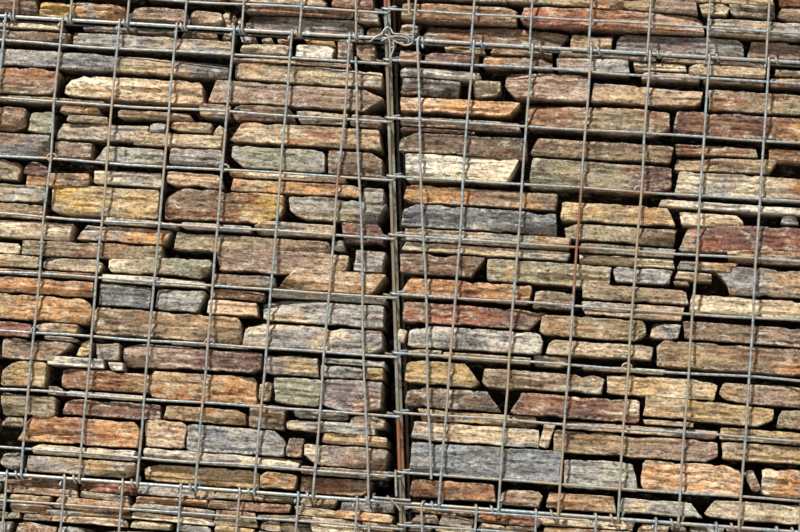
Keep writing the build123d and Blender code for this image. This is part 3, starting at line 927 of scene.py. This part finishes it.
def galvanisedMaterial(name, stained=False, agedAndShaded=False):
    look = galvanisedLook
    material, tree, shader = newMaterial(name, Roughness=look["roughness"], Metallic=look["metallic"])
    place = addNode(tree, "ShaderNodeTexCoord").outputs["Object"]
    spangle = addNode(tree, "ShaderNodeTexNoise", {0: place},
                      {"Scale": 1 / look["spangle"], "Detail": 3.0}).outputs[0]
    blotch = addNode(tree, "ShaderNodeTexNoise", {0: place},
                     {"Scale": 1 / look["blotch"], "Detail": 5.0, "Roughness": 0.6}).outputs[0]
    colour = addMix(tree, addRamp(tree, spangle, look["spangleRamp"]), linear(look["dull"]),
                    linear(look["zinc"]))
    colour = addMix(tree, addRamp(tree, blotch, look["dustRamp"]), colour, linear(look["tan"]))
    if agedAndShaded:
        # Dirt and painted shade: a dark brown film over the rods and partition panels in the joint
        colour = addMix(tree, addRamp(tree, blotch, look["filmAndShadeRamp"]), colour, linear(look["filmAndShade"]))
        height = addNode(tree, "ShaderNodeSeparateXYZ", {0: place}).outputs[2]
        patches = addRamp(tree, blotch, look["rustRamp"])
        for middle, reach in look["rustBands"]:
            band = addNode(tree, "ShaderNodeMath", {0: height}, {1: middle, 2: reach}, operation="COMPARE")
            colour = addMix(tree, multiply(tree, patches, band.outputs[0]), colour, linear(look["rust"]))
    if stained:
        for stain in ("tan", "rust"):
            mask = addNode(tree, "ShaderNodeAttribute", attribute_name=stain + "Stain").outputs["Fac"]
            colour = addMix(tree, mask, colour, linear(look[stain]))
    tree.links.new(colour, shader.inputs["Base Color"])
    bump = addNode(tree, "ShaderNodeBump", {"Height": spangle},
                   {"Strength": look["reliefStrength"], "Distance": look["relief"]})
    tree.links.new(bump.outputs[0], shader.inputs["Normal"])
    return material


galvanised = galvanisedMaterial("galvanisedWire", stained=True)
galvanisedRod = galvanisedMaterial("galvanisedRod")
agedAndShadedRod = galvanisedMaterial("agedAndShadedRod", agedAndShaded=True)      # wet stone stains the rods in the joint, and a darker film over them is painted shade of the joint

# Stained stretches of the front wires, in millimetres: x, z from, z to, strength
stainedUprights = {
    "tan": [
        (-505, 1245, 1455, 1.0), (-404, 1335, 1405, 0.9), (105, 1035, 1065, 0.8), (205, 965, 1062, 0.9),
        (305, 795, 945, 0.9), (404, 1225, 1345, 1.0), (404, 1080, 1220, 0.6), (-103, 1590, 1640, 1.0),
        (105, 1062, 1140, 0.7), (205, 1062, 1130, 0.6), (404, 830, 1060, 0.7), (505, 900, 1240, 0.45),
        (-305, 1030, 1046, 0.8),
    ],
    "rust": [(305, 1150, 1345, 0.85), (-106, 1325, 1352, 0.8)],
}
stainedRuns = {"tan": [], "rust": [(1342, 275, 412, 0.85)]}     # z, x from, x to, strength
stainReach = {"upright": 9, "run": 5}       # how far from that line a wire still takes the stain

hookShape = {
    "turn": radians(205),
    "facets": 9,
    "tail": 0.011,
    "slant": 0.006,
    "slants": (0.3, 1.0),       # spread of the uprights' hooks
    "runSlant": 0.6,            # of the hooks round a post, as a share
    "postTail": 0.014,
    "jointTail": 0.018,
    "panelSlant": 0.003,        # of the end panels' and level panels' hooks
}
wireShape = {
    "step": 0.050,              # between the points of a straight wire
    "sway": 0.0035,             # how far a wire wanders from straight
    "smallSway": 0.003,
    "swayWaves": 0.35,          # for each step
    "swayEnds": 6,              # the sway starts within a sixth of the length
    "meet": 0.004,              # a wire's straight part starts this far from its hook
    "sides": 6,
    "seenSides": 10,            # of the wires in the middle of the picture
    "lacingSides": 8,
}


def newWires(name, radius, sides=wireShape["sides"]):
    curve = bpy.data.curves.new(name, "CURVE")
    curve.dimensions = "3D"
    curve.bevel_depth = radius
    curve.bevel_resolution = (sides - 4) // 2
    curve.use_fill_caps = True
    return curve


def addWire(curve, points, smooth=False):
    spline = curve.splines.new("NURBS" if smooth else "POLY")
    spline.points.add(len(points) - 1)
    for point, place in zip(spline.points, points):
        point.co = (*place, 1.0)
    if smooth:
        spline.order_u = 3
        spline.use_endpoint_u = True
        spline.resolution_u = 5


def stainAt(stain, x, z):
    levelsHere = [level for at, low, high, level in stainedUprights[stain]
                  if abs(x - at) < stainReach["upright"] and low < z < high]
    levelsHere += [level for at, low, high, level in stainedRuns[stain]
                   if abs(z - at) < stainReach["run"] and low < x < high]
    return max(levelsHere, default=0)


def finishWires(curve, *nodes):
    source = bpy.data.objects.new(curve.name + "Path", curve)
    bpy.context.scene.collection.objects.link(source)
    bpy.context.view_layer.update()
    mesh = bpy.data.meshes.new_from_object(source.evaluated_get(bpy.context.evaluated_depsgraph_get()))
    bpy.data.objects.remove(source)
    for stain in ("tan", "rust"):
        attribute = mesh.attributes.new(stain + "Stain", "FLOAT", "POINT")
        for vert in mesh.vertices:
            x, y, z = vert.co * 1000
            if y <= 0:
                attribute.data[vert.index].value = stainAt(stain, x, z)
    mesh.name = curve.name
    mesh.materials.clear()
    mesh.materials.append(galvanised)
    mesh.shade_smooth()
    obj = bpy.data.objects.new(curve.name, mesh)
    bpy.context.scene.collection.objects.link(obj)
    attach(obj, "root")
    if nodes:
        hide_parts(*nodes)
    print(curve.name, sum(len(polygon.vertices) - 2 for polygon in mesh.polygons), "triangles")


def straight(start, end, sway, key):
    # Points along a wire that isn't quite straight
    start, end = Vector(start), Vector(end)
    count = max(2, round((end - start).length / wireShape["step"]))
    points = []
    for number in range(1, count):
        share = number / count
        spot = start.lerp(end, share)
        wobble = noise.noise(Vector((key * 3.7, share * count * wireShape["swayWaves"], key)))
        ends = wireShape["swayEnds"]
        points.append(spot + Vector(sway) * wobble * min(1.0, ends * share, ends * (1 - share)))
    return [start] + points + [end]


def hookPoints(centre, turn, along, across, side, slant, tail=hookShape["tail"]):
    # Arc round a rod in the plane of two directions, then a short straight tail
    centre, along, across, side = Vector(centre), Vector(along), Vector(across), Vector(side)
    points = []
    for number in range(hookShape["facets"] + 1):
        share = number / hookShape["facets"]
        angle = turn * share
        points.append(centre + along * outerLayer * cos(angle) + across * outerLayer * sin(angle)
                      + side * slant * share)
    heading = (-along * sin(turn) + across * cos(turn)) * (1 if turn > 0 else -1)
    points.append(points[-1] + heading * tail + side * slant * 0.5)
    return points


def facePanelWires(side, tier, direction):
    sign = signs[side]
    foot, head = tierSpan(tier)
    face = "front" if direction < 0 else "back"
    inView = face == "front" and tier == "middle"
    name = f"{face}Mesh_{side}_{tier}"
    curve = newWires(name, wireRadius, wireShape["seenSides" if inView else "sides"])
    rng = random.Random(name)
    y = direction * (halfDepth + outerLayer)
    rodY = direction * halfDepth
    outward, upward, sideways = (0, direction, 0), (0, 0, 1), (1, 0, 0)
    turn, meet = hookShape["turn"], wireShape["meet"]
    for x in uprightPlaces(side, tier):
        slant = hookShape["slant"] * rng.uniform(*hookShape["slants"])
        top = hookPoints((x, rodY, head), turn, outward, upward, sideways, -slant)
        bottom = hookPoints((x, rodY, foot), -turn, outward, upward, sideways, slant)
        middle = straight((x, y, foot + meet), (x, y, head - meet), (wireShape["sway"], 0, 0), x * 31 + head)
        addWire(curve, bottom[::-1] + middle + top)

    # The slanting wire next to the joint: hooked to the foot rod on the left, to the head rod on the right
    runs = runPlaces(tier, wall["faceRunLift"][side])
    gap = sign * wall["edgeGap"][side][tier]
    if side == "left":
        rodEnd, knee, freeEnd = foot, foot + grip, runs[-1] + wall["edgeStub"]
    else:
        rodEnd, knee, freeEnd = head, head - grip, runs[0] - wall["edgeStub"]
    x = jointX(knee) + gap
    edgeHook = hookPoints((x, rodY, rodEnd), turn * sign, outward, upward, sideways, hookShape["slant"])
    slanting = straight((x, y, knee), (jointX(freeEnd) + gap, y, freeEnd), (wireShape["smallSway"], 0, 0),
                        head)
    addWire(curve, edgeHook[::-1] + slanting)

    runY = direction * (halfDepth + innerLayer)
    postX, postY = sign * (wall["columnLength"] + postLine), direction * (halfDepth + postLine)
    slant = hookShape["slant"] * hookShape["runSlant"]
    for z in runs:
        outerHook = hookPoints((postX, postY, z), turn, outward, (sign, 0, 0), upward, slant,
                               hookShape["postTail"])
        innerHook = hookPoints((jointX(z), postY, z), turn, outward, (-sign, 0, 0), upward, slant,
                               hookShape["jointTail"])
        middle = straight((postX - sign * meet, runY, z), (jointX(z) + sign * meet, runY, z),
                          (0, 0, wireShape["smallSway"]), z * 23 + sign)
        addWire(curve, outerHook[::-1] + middle + innerHook)
    finishWires(curve, f"{face}_panel_{side}_{tier}")


def endPanelWires(side, tier):
    sign = signs[side]
    foot, head = tierSpan(tier)
    curve = newWires(f"endMesh_{side}_{tier}", wireRadius)
    x = sign * (wall["columnLength"] + outerLayer)
    rodX = sign * wall["columnLength"]
    outward, upward, sideways = (sign, 0, 0), (0, 0, 1), (0, 1, 0)
    turn, meet, slant = hookShape["turn"], wireShape["meet"], hookShape["panelSlant"]
    for number in range(wall["depthBars"]):
        y = wall["endGap"] - halfDepth + wall["endUprightShift"][tier] + number * wall["pitch"]
        top = hookPoints((rodX, y, head), turn, outward, upward, sideways, slant)
        bottom = hookPoints((rodX, y, foot), -turn, outward, upward, sideways, -slant)
        middle = straight((x, y, foot + meet), (x, y, head - meet), (0, wireShape["sway"], 0),
                          y * 17 + head + sign)
        addWire(curve, bottom[::-1] + middle + top)
    runX = sign * (wall["columnLength"] + innerLayer)
    postX, postY = sign * (wall["columnLength"] + postLine), halfDepth + postLine
    reach = postY - meet
    slant = hookShape["slant"] * hookShape["runSlant"]
    for z in runPlaces(tier, wall["endRunLift"][side]):
        hooks = [hookPoints((postX, direction * postY, z), turn, outward, (0, direction, 0), upward, slant,
                            hookShape["postTail"]) for direction in (-1, 1)]
        middle = straight((runX, -reach, z), (runX, reach, z), (0, 0, wireShape["smallSway"]), z * 11 + sign)
        addWire(curve, hooks[0][::-1] + middle + hooks[1])
    finishWires(curve, f"end_panel_{side}_{tier}")


def levelPanelWires(side, number):
    sign = signs[side]
    up = -1 if number == 0 else 1       # the base panel's wires pass under its rods, the others over them
    level = levels[number]
    curve = newWires(f"levelMesh_{side}_{number}", wireRadius)
    turn, meet, sway = hookShape["turn"], wireShape["meet"], wireShape["smallSway"]
    z = level + up * outerLayer
    reach = halfDepth - meet
    for ring in rowToJoint(side, wall["firstRing"][side][number], [level]):
        hooks = [hookPoints((ring, direction * halfDepth, level), turn, (0, 0, up), (0, direction, 0),
                            (1, 0, 0), hookShape["slant"]) for direction in (-1, 1)]
        middle = straight((ring, -reach, z), (ring, reach, z), (sway, 0, 0), ring * 19)
        addWire(curve, hooks[0][::-1] + middle + hooks[1])
    rodZ = level - up * depthRodDrop
    z = level + up * innerLayer
    ends = ((sign * wall["columnLength"], sign), (jointX(level), -sign))
    for count in range(wall["depthBars"]):
        y = wall["endGap"] - halfDepth - sign * wall["crossStep"] + count * wall["pitch"]
        hooks = [hookPoints((x, y, rodZ), turn, (0, 0, up), (away, 0, 0), (0, 1, 0), hookShape["panelSlant"])
                 for x, away in ends]
        middle = straight((ends[0][0] - sign * meet, y, z), (ends[1][0] + sign * meet, y, z), (0, sway, 0),
                          y * 13)
        addWire(curve, hooks[0][::-1] + middle + hooks[1])
    finishWires(curve, f"{levelNames[number]}_{side}")


for side in signs:
    for tier in tiers:
        facePanelWires(side, tier, -1)
        facePanelWires(side, tier, 1)
        endPanelWires(side, tier)
    for number in range(len(levels)):
        levelPanelWires(side, number)
print("mesh panels made")

ties = {
    "radius": wireRadius * 0.8,
    "loop": 0.008,
    "loopFlat": 0.8,        # height of the loop as a share of its width
    "loopTurn": 1.6 * pi,
    "loopFacets": 12,
    "offset": 0.002,
    "stem": 0.006,
}


def tieWires(side):
    # Hooks that grip a crossing of the front and the back mesh, with a straight wire through the stones
    sign = signs[side]
    curve = newWires(f"bracingTies_{side}", ties["radius"])
    step = wall["wire"] + wall["clearance"]
    reach = halfDepth + innerLayer
    for tier in tiers:
        uprights = uprightPlaces(side, tier)
        runs = runPlaces(tier, wall["faceRunLift"][side])
        for mesh in wall["tieMeshes"][side]:
            for run in wall["tieRuns"]:
                x, z = uprights[mesh] - sign * step, runs[run] + step
                points = []
                for direction in (-1, 1):
                    centre = Vector((x + sign * ties["offset"], direction * (reach + ties["offset"]),
                                     z - ties["offset"]))
                    loop = []
                    for number in range(ties["loopFacets"]):
                        angle = ties["loopTurn"] * number / ties["loopFacets"]
                        spoke = Vector((cos(angle), 0, sin(angle) * ties["loopFlat"]))
                        loop.append(centre + ties["loop"] * spoke)
                    stem = Vector((x, direction * (reach - ties["stem"]), z))
                    points += loop + [stem] if direction < 0 else [stem] + loop
                addWire(curve, points)
    finishWires(curve, f"bracing_ties_{side}")


for side in signs:
    tieWires(side)

# Lacing wire twisted round the rods where four baskets meet, and a spare rod end below it, in millimetres
lacing = {
    "thin": 0.0016,
    "thick": 0.0021,
    "thinPaths": [
        [(-69, -398, 1576), (-61, -399, 1585), (-50, -399.6, 1590), (-47, -398, 1599), (-41, -397, 1604),
         (-35, -398, 1600), (-32, -399.4, 1591), (-18, -399.8, 1592), (-6, -399.8, 1590), (3, -399.8, 1584),
         (3, -399.8, 1577), (-6, -399.6, 1572), (-18, -399, 1575), (-31, -398, 1581)],
        [(-50, -398, 1578), (-40, -399.6, 1586), (-24, -399.8, 1588), (-8, -399.8, 1587), (-1, -399.4, 1581),
         (-5, -398.6, 1577)],
        [(-45, -398, 1590), (-39, -399.8, 1589), (-36, -399.8, 1578), (-34, -399.2, 1562),
         (-33, -398, 1546)],
        [(-30, -399, 1577), (-27, -400, 1568), (-31, -400, 1556), (-33, -399, 1549)],
        [(20, -399.6, 806), (31, -400, 797), (40, -400, 789), (44, -399, 783)],
    ],
    "thickPaths": [
        [(-3, -398.4, 801.6), (28, -398.6, 801.4), (60, -398.6, 801.2)],
        [(50, -398.6, 789.6), (150, -398.6, 789.8), (350, -398.6, 789.6)],
        [(31, -399.4, 850), (34, -399.6, 820), (36, -399.6, 806)],
    ],
}


def lacingWires():
    for thickness in ("thin", "thick"):
        curve = newWires(f"{thickness}Lacing", lacing[thickness], wireShape["lacingSides"])
        for path in lacing[thickness + "Paths"]:
            addWire(curve, [Vector(point) / 1000 for point in path], smooth=True)
        finishWires(curve)


lacingWires()

for name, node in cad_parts.items():
    if name.endswith("_rods") or name.startswith("partition_panel"):
        node.data.materials.clear()
        agedAndShaded = name.startswith("partition_panel") or name == "joint_rods"
        node.data.materials.append(agedAndShadedRod if agedAndShaded else galvanisedRod)
print("rods finished")


# Pale floor, soft lamps and the camera where the picture was taken from
studio = {
    "floor": "#CCCAC5",
    "floorSize": 14.0,
    "floorRoughness": 0.8,
    "mottle": 3.0,
    "mottleDetail": 4.0,
    "mottleDepth": 0.97,
    "world": "#F2F4F7",
    "worldStrength": 0.12,
    "target": (0, 0, 1.2),
}
lamps = {       # place, size and power
    "keyLamp": ((-5.6, -10.5, 12.1), 1.0, 4400.0),
    "fillLamp": ((4.0, -3.5, 2.5), 3.0, 24.0),
    "backLamp": ((4.5, 9.5, 5.0), 1.0, 1100.0),
}
view = {
    "place": (0.5759, -5.7401, 0.5576),
    "yaw": 6.03,
    "pitch": 6.76,
    "roll": 4.47,
    "lens": 144.0,
    "sensor": 36.0,
}


def addLamp(name, place, size, power):
    lamp = bpy.data.lights.new(name, "AREA")
    lamp.size = size
    lamp.energy = power
    obj = bpy.data.objects.new(name, lamp)
    bpy.context.scene.collection.objects.link(obj)
    turn = (Vector(studio["target"]) - Vector(place)).to_track_quat("-Z", "Y")
    obj.matrix_world = Matrix.Translation(place) @ turn.to_matrix().to_4x4()


def makeStudio():
    material, tree, shader = newMaterial("paleFloor", Roughness=studio["floorRoughness"])
    place = addNode(tree, "ShaderNodeTexCoord")
    mottle = addNode(tree, "ShaderNodeTexNoise", {0: place.outputs["Object"]},
                     {"Scale": studio["mottle"], "Detail": studio["mottleDetail"]})
    base = linear(studio["floor"])
    low = tuple(c * studio["mottleDepth"] for c in base[:3]) + (1,)
    tree.links.new(addMix(tree, mottle.outputs[0], low, base), shader.inputs["Base Color"])
    bm = bmesh.new()
    bmesh.ops.create_grid(bm, x_segments=2, y_segments=2, size=studio["floorSize"] / 2)
    mesh = bpy.data.meshes.new("studioFloor")
    bm.to_mesh(mesh)
    bm.free()
    mesh.materials.append(material)
    ground = bpy.data.objects.new("studioFloor", mesh)
    bpy.context.scene.collection.objects.link(ground)

    world = bpy.data.worlds.new("studioWorld")
    bpy.context.scene.world = world
    world.use_nodes = True
    tree = world.node_tree
    tree.nodes.clear()
    path = addNode(tree, "ShaderNodeLightPath")
    seen = addNode(tree, "ShaderNodeMath",
                   {0: path.outputs["Is Camera Ray"], 1: path.outputs["Is Glossy Ray"]}, operation="MAXIMUM")
    seen = addNode(tree, "ShaderNodeMath", {0: seen.outputs[0], 1: path.outputs["Is Transmission Ray"]},
                   operation="MAXIMUM")
    lit = addNode(tree, "ShaderNodeBackground",
                  values={0: linear(studio["world"]), 1: studio["worldStrength"]})
    shown = addNode(tree, "ShaderNodeBackground", values={0: (1, 1, 1, 1), 1: 1.0})
    both = addNode(tree, "ShaderNodeMixShader", {0: seen.outputs[0], 1: lit.outputs[0], 2: shown.outputs[0]})
    addNode(tree, "ShaderNodeOutputWorld", {0: both.outputs[0]})

    for name, (place, size, power) in lamps.items():
        addLamp(name, place, size, power)
    bpy.context.scene.view_settings.view_transform = "Standard"


def makeCamera():
    lens = bpy.data.cameras.new("pictureView")
    lens.sensor_width = view["sensor"]
    lens.lens = view["lens"]
    camera = bpy.data.objects.new("pictureView", lens)
    bpy.context.scene.collection.objects.link(camera)
    camera.matrix_world = (Matrix.Translation(view["place"]) @ Matrix.Rotation(radians(view["yaw"]), 4, "Z")
                           @ Matrix.Rotation(radians(90 + view["pitch"]), 4, "X")
                           @ Matrix.Rotation(radians(view["roll"]), 4, "Z"))
    bpy.context.scene.camera = camera


makeStudio()
makeCamera()
print("studio set")
